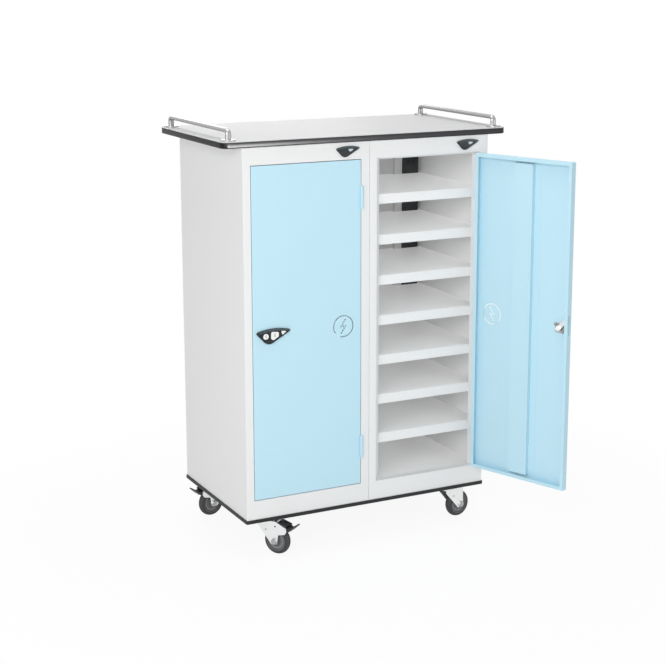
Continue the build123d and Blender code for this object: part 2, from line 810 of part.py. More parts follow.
def tyre():
    """Tyre with a crowned tread and rounded shoulders."""
    outer = wheel_diameter / 2
    rim = outer - tyre_wall
    half = tyre_width / 2
    side = outer - tread_crown - 1.5
    sketch = make_face([
        Line((rim, half - 1, 0), (rim + 2, half, 0)),
        Line((rim + 2, half, 0), (side, half - 0.5, 0)),
        ThreePointArc((side, half - 0.5, 0), (outer, 0, 0), (side, 0.5 - half, 0)),
        Line((side, 0.5 - half, 0), (rim + 2, -half, 0)),
        Line((rim + 2, -half, 0), (rim, 1 - half, 0)),
        Line((rim, 1 - half, 0), (rim, half - 1, 0)),
    ])
    return Pos(castor_trail, 0, axle_height) * revolve(sketch, Axis.Y)


def brake_lever():
    """Rocking brake lever: an upper release pad and a lower foot lever on one pin."""
    x = castor_trail + brake_pivot_out
    z = brake_height
    half = fork_gap / 2 - brake_clearance
    web = [
        (x - 4.5, z - 2.8), (x + 9, z - 2.6), (x + 24, z - 5.2), (x + 30, z + 1),
        (x + 26, z + 7), (x + 6, z + 10), (x - 3, z + 4),
    ]
    pad = [(x + 7, z + 14.5), (x + 5, z + 9), (x + 33, z - 1), (x + 38, z + 6)]
    foot = [
        (x + 24, z - 1), (x + 26, z - 5.5), (x + 36, z - 12), (x + 44, z - 9.5),
        (x + 63, z + 8), (x + 61, z + 11), (x + 42, z - 1.5), (x + 30, z + 1),
    ]
    lever = slab(web, -half / 2, half / 2, [1.5] * 7)
    lever += slab(pad, -half, half, [1.5] * 4)
    lever += slab(foot, -half, half, [1, 2, 4, 4, 1.2, 1.2, 4, 1])
    return lever + rod_y(x, z, brake_pin_radius, -fork_outer, fork_outer)


def place_all(move, shapes):
    """Every shape of a list, moved alike."""
    return [move * shape for shape in shapes]


# Fixed body: lockers, worktop and base
frame_hinges = []
screws = []
badges = []
lenses = []
panels = []
for name, x in zip(unit_names, unit_lefts):
    parts[f"{name}_carcass"] = carcass(x)
    parts[f"{name}_front_frame"] = [front_frame(x)]
    parts[f"{name}_shelves"] = shelves(x)
    parts[f"{name}_rear_wall"] = [rear_wall(x)]
    parts[f"{name}_socket_strip"] = [socket_strip(x)]
    panels.append(access_panel(x))
    screws += panel_screws(x)
    badge, lens = fascia_badge(x)
    badges.append(badge)
    lenses.append(lens)

# Doors, each with its half hinges and lock
door_rest = {"left": 0.0, "right": door_open_angle}
for name, x in zip(unit_names, unit_lefts):
    move = swing(x, door_rest[name])
    lower_halves, upper_halves = hinges(x)
    frame_hinges += lower_halves
    door_nodes = {
        "door_skin": door_skin(x),
        "door_stiffener": [door_stiffener(x)],
        "hinge_upper_halves": upper_halves,
        "lock_escutcheon": [lock_escutcheon(x)],
        "lock_inserts": lock_inserts(x),
        "lock_housing": [lock_housing(x)],
        "lock_plug": [lock_plug(x)],
        "lock_cam": lock_cam(x),
    }
    for node, shapes in door_nodes.items():
        parts[f"{name}_{node}"] = place_all(move, shapes)

parts["rear_access_panels"] = panels
parts["rear_panel_screws"] = screws
parts["fascia_badges"] = badges
parts["badge_lenses"] = lenses
parts["hinge_lower_halves"] = frame_hinges
parts["mains_inlet"] = [mains_inlet()]

board, edge_band = worktop()
parts["worktop_board"] = [board]
parts["worktop_edging"] = [edge_band]
handle_places = {"left": worktop_left + handle_inset, "right": worktop_right - handle_inset}
parts["handle_flanges"] = []
for name, x in handle_places.items():
    parts[f"{name}_handle"] = [handle(x)]
    parts["handle_flanges"] += handle_flanges(x)
base_board, bumper = base()
parts["bumper_strip"] = [bumper]

# Castors
parts["castor_plates"] = []
parts["castor_bolts"] = []
for name in castor_angles:
    x, y = castor_axis(name)
    place = castor_place(name)
    parts["castor_plates"].append(castor_mounting(x, y))
    for bx, by in castor_bolt_places(x, y):
        bolt = castor_bolt(bx, by)
        base_board -= bolt
        parts["castor_bolts"].append(bolt)
    braked = name in braked_castors
    parts[f"{name}_fork"] = [place * castor_fork(braked)]
    parts[f"{name}_axle"] = [place * castor_axle()]
    parts[f"{name}_wheel_core"] = [place * wheel_core()]
    parts[f"{name}_tyre"] = [place * tyre()]
    if braked:
        parts[f"{name}_brake_lever"] = [place * brake_lever()]
parts["base_board"] = [base_board]

# The origin is on the floor, under the middle of everything
everything = Compound([solid for shapes in parts.values() for shape in shapes for solid in shape.solids()])
limits = everything.bounding_box()
origin_x = (limits.min.X + limits.max.X) / 2
origin_y = (limits.min.Y + limits.max.Y) / 2
to_origin = Pos(-origin_x, -origin_y, 0)

os.makedirs("parts", exist_ok=True)
for node, shapes in parts.items():
    solids = [solid for shape in shapes for solid in (to_origin * shape).solids()]
    export_step(Compound(solids) if len(solids) > 1 else solids[0], f"parts/{node}.step")
print(len(parts), "nodes, origin at", round(origin_x, 3), round(origin_y, 3), "size", limits.size)
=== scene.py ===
"""Charging trolley: surfaces, finishes, light and camera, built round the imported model.

Metres, in the model's own frame: X to the right, Y from the doors to the back, Z up from the floor.
"""

import json
import math

import bmesh
import bpy
import numpy as np
from mathutils import Matrix, Vector

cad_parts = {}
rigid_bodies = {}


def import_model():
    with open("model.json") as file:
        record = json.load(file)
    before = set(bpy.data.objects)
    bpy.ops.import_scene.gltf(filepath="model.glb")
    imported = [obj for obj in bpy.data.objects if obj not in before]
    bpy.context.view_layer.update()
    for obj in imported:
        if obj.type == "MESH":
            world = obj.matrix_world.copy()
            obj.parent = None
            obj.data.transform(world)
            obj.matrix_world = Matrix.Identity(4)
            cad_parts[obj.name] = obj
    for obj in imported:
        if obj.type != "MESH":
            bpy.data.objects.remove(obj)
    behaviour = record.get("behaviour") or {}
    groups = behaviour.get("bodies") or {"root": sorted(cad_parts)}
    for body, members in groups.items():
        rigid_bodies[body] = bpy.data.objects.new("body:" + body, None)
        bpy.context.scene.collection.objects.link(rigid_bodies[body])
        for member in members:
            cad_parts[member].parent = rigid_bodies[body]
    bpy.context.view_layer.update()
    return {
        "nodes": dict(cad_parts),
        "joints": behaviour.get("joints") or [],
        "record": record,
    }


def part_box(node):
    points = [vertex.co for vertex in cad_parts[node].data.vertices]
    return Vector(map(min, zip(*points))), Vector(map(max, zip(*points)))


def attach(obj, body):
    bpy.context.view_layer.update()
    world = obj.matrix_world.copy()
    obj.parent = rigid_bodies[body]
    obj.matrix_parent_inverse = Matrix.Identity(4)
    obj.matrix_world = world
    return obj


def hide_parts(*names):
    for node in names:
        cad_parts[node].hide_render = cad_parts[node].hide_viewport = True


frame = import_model()

mm = 0.001
joints = {joint["name"]: joint for joint in frame["joints"]}
slot_of = {part["node"]: part["material_slot"] for part in frame["record"]["subparts"]}
body_of = {node: body for body, nodes in frame["record"]["behaviour"]["bodies"].items() for node in nodes}
sides = ("left", "right")
castors = [name.removesuffix("_swivel") for name in joints if name.endswith("_swivel")]


# Shader nodes

class Flow:
    """A shader value that takes Python's operators, each of which adds one Math node."""

    def __init__(self, finish, socket):
        self.finish = finish
        self.socket = socket

    def maths(self, operation, *values):
        return self.finish.node("ShaderNodeMath", {"operation": operation}, dict(enumerate(values)))

    def __add__(self, other):
        return self.maths("ADD", self, other)

    def __radd__(self, other):
        return self.maths("ADD", other, self)

    def __sub__(self, other):
        return self.maths("SUBTRACT", self, other)

    def __rsub__(self, other):
        return self.maths("SUBTRACT", other, self)

    def __mul__(self, other):
        return self.maths("MULTIPLY", self, other)

    def __rmul__(self, other):
        return self.maths("MULTIPLY", other, self)

    def __pow__(self, other):
        return self.maths("POWER", self, other)

    def over(self, low, high):
        """0 below low, 1 above high, and a smooth step between."""
        return self.finish.node(
            "ShaderNodeMapRange", {"interpolation_type": "SMOOTHSTEP", "clamp": True},
            {"Value": self, "From Min": low, "From Max": high, "To Min": 0.0, "To Max": 1.0}, "Result",
        )


class Finish:
    """One material: a Principled shader on Object coordinates, with its nodes made by node()."""

    def __init__(self, name, **plain):
        self.material = bpy.data.materials.new(name)
        self.material.use_nodes = True
        self.tree = self.material.node_tree
        self.tree.nodes.clear()
        self.output = self.tree.nodes.new("ShaderNodeOutputMaterial")
        self.shader = self.tree.nodes.new("ShaderNodeBsdfPrincipled")
        self.tree.links.new(self.shader.outputs[0], self.output.inputs[0])
        self.place = self.node("ShaderNodeTexCoord", {}, {}, "Object")
        self.set(**plain)

    def node(self, kind, settings, values, result=0):
        """Any node: its type, its settings, the values or links of its sockets, and the output to read."""
        made = self.tree.nodes.new(kind)
        for key, value in settings.items():
            setattr(made, key, value)
        for key, value in values.items():
            self.feed(made.inputs[key], value)
        return Flow(self, made.outputs[result])

    def feed(self, socket, value):
        """Links a value to a socket, or sets the socket to a number or a colour."""
        if isinstance(value, Flow):
            self.tree.links.new(value.socket, socket)
        elif hasattr(value, "__len__") and len(value) == 3 and len(socket.default_value) == 4:
            socket.default_value = (*value, 1.0)
        else:
            socket.default_value = value

    def set(self, **values):
        """Sets the shader's sockets by their names in lower case, with _ for a space."""
        for name, value in values.items():
            self.feed(self.shader.inputs[name.replace("_", " ").title().replace("Ior", "IOR")], value)
        return self

    def noise(self, scale, detail=2.0, roughness=0.5):
        """Noise between 0 and 1 with the given number of features in a metre."""
        values = {"Vector": self.place, "Scale": scale, "Detail": detail, "Roughness": roughness}
        return self.node("ShaderNodeTexNoise", {}, values, "Fac")

    def blend(self, factor, first, second):
        """First colour where the factor is 0, second where it is 1, by a Mix node's colour sockets."""
        return self.node("ShaderNodeMix", {"data_type": "RGBA"}, {"Factor": factor, 6: first, 7: second}, 2)

    def bump(self, height, depth, strength):
        """Lifts the surface by height times depth, in metres."""
        values = {"Height": height, "Distance": depth, "Strength": strength}
        return self.set(normal=self.node("ShaderNodeBump", {}, values))


# Finishes

def shade(colour, factor):
    """A colour made lighter or darker."""
    return tuple(min(1.0, part * factor) for part in colour)


def powder_coat(name, colour, roughness=0.42):
    """Sprayed and baked paint: fine orange peel, a slight cloudiness and a soft sheen."""
    finish = Finish(name, specular_ior_level=0.4)
    cloud = finish.noise(2.3, 3.0)
    peel = finish.noise(420.0, 3.0, 0.55)
    finish.set(base_color=finish.blend(cloud, shade(colour, 0.985), shade(colour, 1.012)))
    finish.set(roughness=roughness + 0.12 * (finish.noise(9.0, 3.0) - 0.5) + 0.06 * (peel - 0.5))
    return finish.bump(peel, 0.00006, 0.55)


def laminate(name, colour):
    """Pale laminated board with a very fine fleck."""
    finish = Finish(name, specular_ior_level=0.02)
    fleck = finish.noise(900.0, 2.0, 0.7).over(0.56, 0.7)
    cloud = finish.noise(5.0, 4.0)
    ground = finish.blend(cloud, shade(colour, 0.975), shade(colour, 1.02))
    finish.set(base_color=finish.blend(fleck * 0.22, ground, shade(colour, 0.7)))
    finish.set(roughness=0.5 + 0.1 * (finish.noise(14.0, 3.0) - 0.5))
    return finish.bump(finish.noise(1500.0, 2.0), 0.00002, 0.5)


def plated(name, colour, roughness=0.3):
    """Plated steel: cloudy brightness, fine grain and small changes of gloss."""
    finish = Finish(name, metallic=0.88)
    cloud = finish.noise(38.0, 3.0, 0.6)
    fine = finish.noise(260.0, 3.0, 0.6)
    finish.set(base_color=finish.blend(cloud, shade(colour, 0.86), shade(colour, 1.06)))
    finish.set(roughness=roughness + 0.16 * (cloud - 0.5) + 0.12 * (fine - 0.5))
    return finish.bump(fine, 0.00004, 0.5)


def moulded(name, colour, roughness=0.5, grain=1300.0, depth=0.00004, specular=0.45):
    """Moulded plastic with a fine spark-eroded grain."""
    finish = Finish(name, specular_ior_level=specular)
    fine = finish.noise(grain, 2.0, 0.6)
    finish.set(base_color=finish.blend(finish.noise(30.0, 3.0), shade(colour, 0.88), shade(colour, 1.12)))
    finish.set(roughness=roughness + 0.12 * (fine - 0.5))
    return finish.bump(fine, depth, 0.6)


# Radii on a wheel, in metres, between which one look goes over into the next
hub_rim = (0.0105, 0.0125)
highlight_ring_inside = (0.0185, 0.0195)
highlight_ring_outside = (0.0232, 0.0242)
tread_edge = (0.0372, 0.0385)

# Radians in a metre of radius: turned lines 1.2 mm apart, and rings on the tyre's wall 2 mm apart
turned_lines = 5200.0
moulded_rings = 3140.0


def from_axle(finish, castor):
    """Distance from a castor's axle: the root of the squared distance from the wheel's centre, less the
    square of the part of it that lies along the axle."""
    roll = joints[f"{castor}_roll"]
    vectors = "ShaderNodeVectorMath"
    away = finish.node(vectors, {"operation": "SUBTRACT"}, {0: finish.place, 1: roll["pos_m"]})
    along = finish.node(vectors, {"operation": "DOT_PRODUCT"}, {0: away, 1: roll["axis"]}, "Value")
    total = finish.node(vectors, {"operation": "LENGTH"}, {0: away}, "Value")
    return (total ** 2.0 - along ** 2.0) ** 0.5


def wheel_centre(castor):
    """Grey moulding with a paler ring near the rim, which is a painted highlight on the rim's edge, fine
    turned lines and a darker hub.
    """
    finish = Finish(f"{castor}_wheel_centre", specular_ior_level=0.4)
    out = from_axle(finish, castor)
    # Paler ring near the rim: a painted highlight on the rim's edge
    ring = out.over(*highlight_ring_inside) - out.over(*highlight_ring_outside)
    hub = 1.0 - out.over(*hub_rim)
    cloud = finish.noise(60.0, 3.0)
    ground = finish.blend(cloud, (0.115, 0.117, 0.12), (0.15, 0.152, 0.155))
    ground = finish.blend(ring * 0.8, ground, (0.3, 0.303, 0.306))
    finish.set(base_color=finish.blend(hub * 0.6, ground, (0.06, 0.061, 0.063)))
    lines = finish.node("ShaderNodeMath", {"operation": "SINE"}, {0: out * turned_lines})
    fine = finish.noise(900.0, 2.0, 0.6)
    finish.set(roughness=0.44 + 0.1 * (fine - 0.5))
    return finish.bump(fine + 0.35 * lines, 0.00004, 0.5)


def tyre_wall(castor):
    """Grey rubber, darkest on the wall, with moulded rings there and a scuffed, paler tread."""
    finish = Finish(f"{castor}_tyre_wall", specular_ior_level=0.3)
    out = from_axle(finish, castor)
    tread = out.over(*tread_edge)
    scuff = finish.noise(160.0, 4.0, 0.7).over(0.42, 0.7)
    wall = finish.blend(finish.noise(50.0, 3.0), (0.036, 0.037, 0.04), (0.052, 0.053, 0.056))
    finish.set(base_color=finish.blend(tread * (0.35 + 0.65 * scuff), wall, (0.105, 0.104, 0.102)))
    finish.set(roughness=0.56 + 0.22 * tread)
    rings = finish.node("ShaderNodeMath", {"operation": "SINE"}, {0: out * moulded_rings})
    return finish.bump(0.6 * rings * (1.0 - tread) + finish.noise(900.0, 3.0), 0.00012, 0.6)


finishes = {
    "cabinet_paint": powder_coat("cabinet_powder_coat", (0.83, 0.832, 0.83)),
    "shelf_paint": powder_coat("shelf_powder_coat", (0.76, 0.762, 0.76)),
    "door_paint": powder_coat("door_powder_coat", (0.53, 0.775, 0.885), 0.4),
    "zinc": plated("bright_zinc", (0.86, 0.865, 0.87)),
    "lock_zinc": plated("lock_die_casting", (0.42, 0.4, 0.385)),
    "handle_satin": plated("rail_satin", (0.4, 0.4, 0.405)),
    "black_plastic": moulded("black_moulding", (0.018, 0.019, 0.021), 0.45),
    "escutcheon_plastic": moulded("lock_plate_moulding", (0.007, 0.012, 0.015), 0.24, 700.0, 0.00001, 0.42),
    "insert_plastic": moulded("white_insert", (0.9, 0.9, 0.89), 0.3, 700.0, 0.00001),
    "lens_plastic": moulded("lens_moulding", (0.5, 0.6, 0.66), 0.12, 500.0, 0.00001),
    "laminate": laminate("worktop_laminate", (0.655, 0.657, 0.66)),
    "edging_black": moulded("worktop_edging_moulding", (0.004, 0.004, 0.0045), 0.28, 500.0, 0.00001, 0.12),
    "base_black": moulded("bumper_moulding", (0.028, 0.029, 0.031), 0.5, 800.0, 0.00005, 0.2),
    "base_board_black": moulded("base_board_face", (0.05, 0.05, 0.05), 0.6, 600.0, 0.00005),
}
axle_steel = plated("axle_steel", (0.42, 0.42, 0.425), 0.34)
# Near-black for crossed screw recesses, socket slots and the key slit: painted shade where those openings
# are
slot_shadow = moulded("slot_shadow", (0.004, 0.004, 0.004), 0.7)
# Lighter teal-grey of the caps on the lock plates and badges: a painted highlight on their top bevels
painted_highlight_cap = moulded("lock_plate_cap", (0.045, 0.078, 0.086), 0.26, 700.0, 0.00001)
ink_and_painted_shade = moulded("numeral_print", (0.05, 0.052, 0.055), 0.5)


# The solids' own surfaces

fold_angle = math.radians(32.0)
flat_angle = math.radians(0.4)
merge_distance = 0.000002


def round_edges(piece, radius):
    """Rounds a piece's edges by a radius in mm."""
    bevel = piece.modifiers.new("rounded", "BEVEL")
    bevel.width = radius * mm
    bevel.segments = 2
    bevel.limit_method = "ANGLE"
    bevel.angle_limit = fold_angle
    bevel.harden_normals = True


def dressed(node, finish, radius, flat):
    """Puts a merged copy of a CAD node in its place, flat or with edges rounded by a radius in mm."""
    mesh = frame["nodes"][node].data.copy()
    mesh.name = f"{node}_surface"
    if "custom_normal" in mesh.attributes:
        mesh.attributes.remove(mesh.attributes["custom_normal"])
    build = bmesh.new()
    build.from_mesh(mesh)
    bmesh.ops.remove_doubles(build, verts=build.verts, dist=merge_distance)
    bmesh.ops.dissolve_limit(build, angle_limit=flat_angle, verts=build.verts, edges=build.edges)
    for face in build.faces:
        face.smooth = not flat
    build.to_mesh(mesh)
    build.free()
    mesh.set_sharp_from_angle(angle=fold_angle)
    mesh.materials.clear()
    mesh.materials.append(finish.material)
    piece = bpy.data.objects.new(f"{node}_skin", mesh)
    bpy.context.scene.collection.objects.link(piece)
    if not flat:
        round_edges(piece, radius)
    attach(piece, body_of[node])
    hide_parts(node)


def finish_of(node):
    """The finish of a CAD node: its slot's own, or one centred on its castor."""
    for castor in castors:
        if node == f"{castor}_wheel_core":
            return wheel_centre(castor)
        if node == f"{castor}_tyre":
            return tyre_wall(castor)
        if node == f"{castor}_axle":
            return axle_steel
    return finishes[slot_of[node]]


plain_rounding = 0.35
rounding = {
    "left_lock_escutcheon": 0.9, "right_lock_escutcheon": 0.9, "fascia_badges": 0.7,
    "left_handle": 0.6, "right_handle": 0.6,
}

# Folded sheets are several solids side by side, and flat shading hides the joins between them
folded_sheets = ("_carcass", "_door_skin")

for node, part in frame["nodes"].items():
    finish = finish_of(node)
    part.data.materials.clear()
    part.data.materials.append(finish.material)
    if node != "worktop_edging":
        dressed(node, finish, rounding.get(node, plain_rounding), node.endswith(folded_sheets))


# Shapes: a shape is an array of points in mm and a list of faces

def shaped(name, points, faces, body, finish, slot, place=Matrix.Identity(4), rounded=0.0):
    """A piece from a shape, moved by a matrix in metres onto its body, with its normals turned outward."""
    spots = np.asarray(points, float) * mm
    turn = np.array(place)
    spots = spots @ turn[:3, :3].T + turn[:3, 3]
    mesh = bpy.data.meshes.new(name)
    mesh.from_pydata(spots.tolist(), [], [tuple(face) for face in faces])
    mesh.materials.append(finish.material)
    build = bmesh.new()
    build.from_mesh(mesh)
    bmesh.ops.remove_doubles(build, verts=build.verts, dist=merge_distance / 2.0)
    bmesh.ops.recalc_face_normals(build, faces=build.faces)
    for face in build.faces:
        face.smooth = True
    build.to_mesh(mesh)
    build.free()
    mesh.set_sharp_from_angle(angle=fold_angle)
    piece = bpy.data.objects.new(name, mesh)
    bpy.context.scene.collection.objects.link(piece)
    if rounded:
        round_edges(piece, rounded)
    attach(piece, body)
    return piece


def prism(outline, low, high):
    """An outline in X and Z carried along Y from low to high, with both ends closed."""
    flat = np.asarray(outline, float)
    count = len(flat)
    ends = [np.column_stack((flat[:, 0], np.full(count, y), flat[:, 1])) for y in (low, high)]
    around = np.arange(count)
    after = np.roll(around, -1)
    walls = np.column_stack((around, after, after + count, around + count))
    return np.concatenate(ends), [*walls.tolist(), around.tolist(), (around + count)[::-1].tolist()]


def closed_grid(grid):
    """A grid of points whose rows run round, joined row to row, with its first and last rows closed."""
    rows, around = grid.shape[:2]
    index = np.arange(rows * around).reshape(rows, around)
    after = np.roll(index, -1, axis=1)
    walls = np.stack((index[:-1], after[:-1], after[1:], index[1:]), -1).reshape(-1, 4)
    return grid.reshape(-1, 3), [*walls.tolist(), index[0].tolist(), index[-1][::-1].tolist()]


def lathe(profile, steps):
    """Pairs of a radius r and a height y, turned about Y by an angle t: (r cos t, y, r sin t)."""
    half = np.asarray(profile, float)
    turn = np.linspace(0.0, 2.0 * np.pi, steps, endpoint=False)
    radius, height = half[:, :1], half[:, 1:]
    across = radius * np.cos(turn)
    return closed_grid(np.stack((across, np.broadcast_to(height, across.shape), radius * np.sin(turn)), -1))


def joined(*shapes):
    """Several shapes as one."""
    points = np.concatenate([shape[0] for shape in shapes])
    starts = np.cumsum([0] + [len(shape[0]) for shape in shapes])
    faces = [
        [corner + start for corner in face]
        for (_, part), start in zip(shapes, starts) for face in part
    ]
    return points, faces


def moved(shape, x=0.0, y=0.0, z=0.0):
    """A shape shifted by the given distances in mm."""
    return shape[0] + np.array((x, y, z)), shape[1]


def rounded_box(width, height, corner, steps=5):
    """Outline of a box with round corners: four quarter circles centred corner in from its edges."""
    turn = np.linspace(0.0, np.pi / 2.0, steps)
    quarters = []
    for quarter, (right, up) in enumerate(((1, 1), (-1, 1), (-1, -1), (1, -1))):
        angle = turn + quarter * np.pi / 2.0
        x = right * (width / 2.0 - corner) + corner * np.cos(angle)
        z = up * (height / 2.0 - corner) + corner * np.sin(angle)
        quarters.append(np.column_stack((x, z)))
    return np.concatenate(quarters)


def cross_outline(reach, half):
    """Outline of a plus sign with the given reach and half width of its arms."""
    x = [half, half, reach, reach, half, half, -half, -half, -reach, -reach, -half, -half]
    z = [reach, half, half, -half, -half, -reach, -reach, -half, -half, half, half, reach]
    return np.column_stack((x, z))


# Places, most of them in mm from the cabinet's front left edge on the floor

front_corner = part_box("left_front_frame")[0]
cabinet_start = Vector((front_corner.x, front_corner.y, 0.0))
cabinet_place = Matrix.Translation(cabinet_start)
unit_step = (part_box("right_front_frame")[0].x - front_corner.x) / mm


def cabinet_box(node):
    """Lowest and highest corner of a CAD node, in mm from the cabinet's front left edge on the floor."""
    low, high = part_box(node)
    return (low - cabinet_start) / mm, (high - cabinet_start) / mm


def door_place(side):
    """As cabinet_place, for a piece of the left door's lock or of its twin on the right door, which is
    swung with that door from where it closes to where it rests."""
    if side == "left":
        return cabinet_place
    hinge = joints["right_door_hinge"]
    pivot = Vector(hinge["pos_m"])
    turn = Matrix.Rotation(math.radians(-hinge["range_deg"][0]), 4, "Z")
    swing = Matrix.Translation(pivot) @ turn @ Matrix.Translation(-pivot)
    return swing @ Matrix.Translation((unit_step * mm, 0, 0)) @ cabinet_place


def castor_place(castor):
    """Moves mm in a castor's own frame, where the wheel trails along +X, to its place under its swivel."""
    swivel, roll = joints[f"{castor}_swivel"], joints[f"{castor}_roll"]
    centre = Vector(swivel["pos_m"])
    away = Vector(roll["pos_m"]) - centre
    turn = Matrix.Rotation(math.atan2(away.y, away.x), 4, "Z")
    return Matrix.Translation((centre.x, centre.y, 0.0)) @ turn


def facing(axis):
    """Turns a shape made along Y so that its +Y points along the given axis."""
    return Vector((0, 1, 0)).rotation_difference(Vector(axis)).to_matrix().to_4x4()


# Worktop edging: its corner's radius, and its profile as distances inside its face and over its underside
worktop_corner = 22.0
band_profile = (
    (2.0, 0.0), (1.3, 0.15), (0.75, 0.6), (0.33, 1.4), (0.08, 2.4), (0.0, 3.6), (0.0, 15.5), (0.15, 15.85),
    (0.5, 16.0), (2.0, 16.0),
)


def worktop_band():
    """Edging round the worktop: each point of its profile is carried round the board's outline, a box
    with round corners, drawn in on every side by the point's distance inside the face."""
    low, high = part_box("worktop_edging")
    width, depth = (high.x - low.x) / mm, (high.y - low.y) / mm
    rings = []
    for inside, height in band_profile:
        ring = rounded_box(width - 2 * inside, depth - 2 * inside, worktop_corner - inside, 14)
        rings.append(np.insert(ring, 2, height, axis=1))
    grid = np.array(rings) + np.array(((low.x + high.x) / 2, (low.y + high.y) / 2, low.z)) / mm
    index = np.arange(grid.shape[0] * grid.shape[1]).reshape(grid.shape[:2])
    next_ring, after = np.roll(index, -1, axis=0), np.roll(index, -1, axis=1)
    faces = np.stack((index, after, np.roll(after, -1, axis=0), next_ring), -1).reshape(-1, 4)
    piece = shaped(
        "worktop_edging_band", grid.reshape(-1, 3), faces.tolist(), "cabinet", finishes["edging_black"],
        "edging_black",
    )
    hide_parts("worktop_edging")


# Screws

screw_head = [(2.9, 0.0), (2.9, 0.5), (2.5, 1.1), (1.4, 1.4), (0.05, 1.5)]
screw_cross = prism(cross_outline(1.5, 0.32), 1.3, 1.55)


def screws(name, spots, axis, body, slot, scale=1.0):
    """Pan-head screws at places in mm, heads along the axis, each with a dark cross on its head as painted
    shade of a crossed recess.
    """
    turn = np.array(facing(axis))[:3, :3].T * scale
    heads, crosses = [], []
    for spot in spots:
        for shape, row in ((lathe(screw_head, 20), heads), (screw_cross, crosses)):
            row.append(moved((shape[0] @ turn, shape[1]), *spot))
    shaped(f"{name}_heads", *joined(*heads), body, finishes["zinc"], slot, cabinet_place)
    shaped(f"{name}_recesses", *joined(*crosses), body, slot_shadow, slot, cabinet_place)


def flange_screws():
    """Three screws in each foot flange of the rails, on a circle about the post's centre."""
    post_half, circle = 6.0, 14.5
    top = cabinet_box("handle_flanges")[1].z
    spots = []
    for node in ("left_handle", "right_handle"):
        low, high = cabinet_box(node)
        x = (low.x + high.x) / 2.0
        for y in (low.y + post_half, high.y - post_half):
            for turn in (90.0, 210.0, 330.0):
                angle = math.radians(turn)
                spots.append((x + circle * math.cos(angle), y + circle * math.sin(angle), top))
    screws("rail_flange_screw", spots, (0, 0, 1), "cabinet", "zinc", 0.85)


def access_screw_recesses():
    """Dark crosses of painted shade for the crossed recesses in the heads of the rear panels' screws, three
    down each edge of both panels.
    """
    head_radius = 4.5
    low, high = cabinet_box("rear_panel_screws")
    left, right = low.x + head_radius, high.x - head_radius
    bottom, top = low.z + head_radius, high.z - head_radius
    cross = prism(cross_outline(2.1, 0.45), -0.3, 0.02)
    crosses = [
        moved(cross, x, high.y, z)
        for x in (left, right - unit_step, left + unit_step, right)
        for z in (bottom, (bottom + top) / 2.0, top)
    ]
    shaped("rear_screw_recesses", *joined(*crosses), "cabinet", slot_shadow, "zinc", cabinet_place)


def inlet_screws():
    """Two screws through the ears of the mains inlet, sunk a little into them."""
    ear_out, sunk = 19.5, 0.2
    low, high = cabinet_box("mains_inlet")
    middle = (low + high) / 2.0
    spots = [(middle.x + out, high.y - sunk, middle.z) for out in (-ear_out, ear_out)]
    screws("inlet_screw", spots, (0, 1, 0), "cabinet", "zinc")


# Charging strips

def socket_faces(side):
    """A face plate in each recess of a charging strip, with dark patches of painted shade for an upright
    earth slot over two flat ones.
    """
    shelf_count, shelf_lip = 7, 27.0
    lowest, top_shelf = (corner.z for corner in cabinet_box(f"{side}_shelves"))
    pitch = (top_shelf - lowest - shelf_lip) / (shelf_count - 1)
    top_bay = top_shelf + (pitch - shelf_lip) / 2.0
    low, high = cabinet_box(f"{side}_socket_strip")
    x = (low.x + high.x) / 2.0
    plate_side, plate_corner = 38.6, 3.0
    plate = moved(prism(rounded_box(plate_side, plate_side, plate_corner), 0.5, 1.4), x, low.y)
    earth, flat = (3.4, 7.4), (6.8, 3.2)
    openings = [
        moved(prism(rounded_box(*size, 0.5, 3), 0.42, 0.8), x + out, low.y, up)
        for out, up, size in ((0.0, 8.5, earth), (-8.2, -7.0, flat), (8.2, -7.0, flat))
    ]
    bays = [top_bay - pitch * bay for bay in range(shelf_count + 1)]
    plates = [moved(plate, z=z) for z in bays]
    slots = [moved(opening, z=z) for z in bays for opening in openings]
    shaped(f"{side}_socket_faces", *joined(*plates), "cabinet", finishes["black_plastic"], "black_plastic",
           cabinet_place, 0.3)
    shaped(f"{side}_socket_slots", *joined(*slots), "cabinet", slot_shadow, "black_plastic", cabinet_place)


# Locks and badges

def numeral_mesh(name, digit):
    """A digit as a mesh, lying in X and Y about its own middle."""
    letters = bpy.data.curves.new(f"{name}_text", "FONT")
    letters.body = digit
    letters.size = 14.0 * mm
    letters.offset = 0.3 * mm
    letters.extrude = 0.06 * mm
    letters.align_x = letters.align_y = "CENTER"
    source = bpy.data.objects.new(f"{name}_text", letters)
    bpy.context.scene.collection.objects.link(source)
    bpy.context.view_layer.update()
    mesh = bpy.data.meshes.new_from_object(source)
    bpy.data.objects.remove(source)
    mesh.name = name
    mesh.materials.clear()
    mesh.materials.append(ink_and_painted_shade.material)
    return mesh


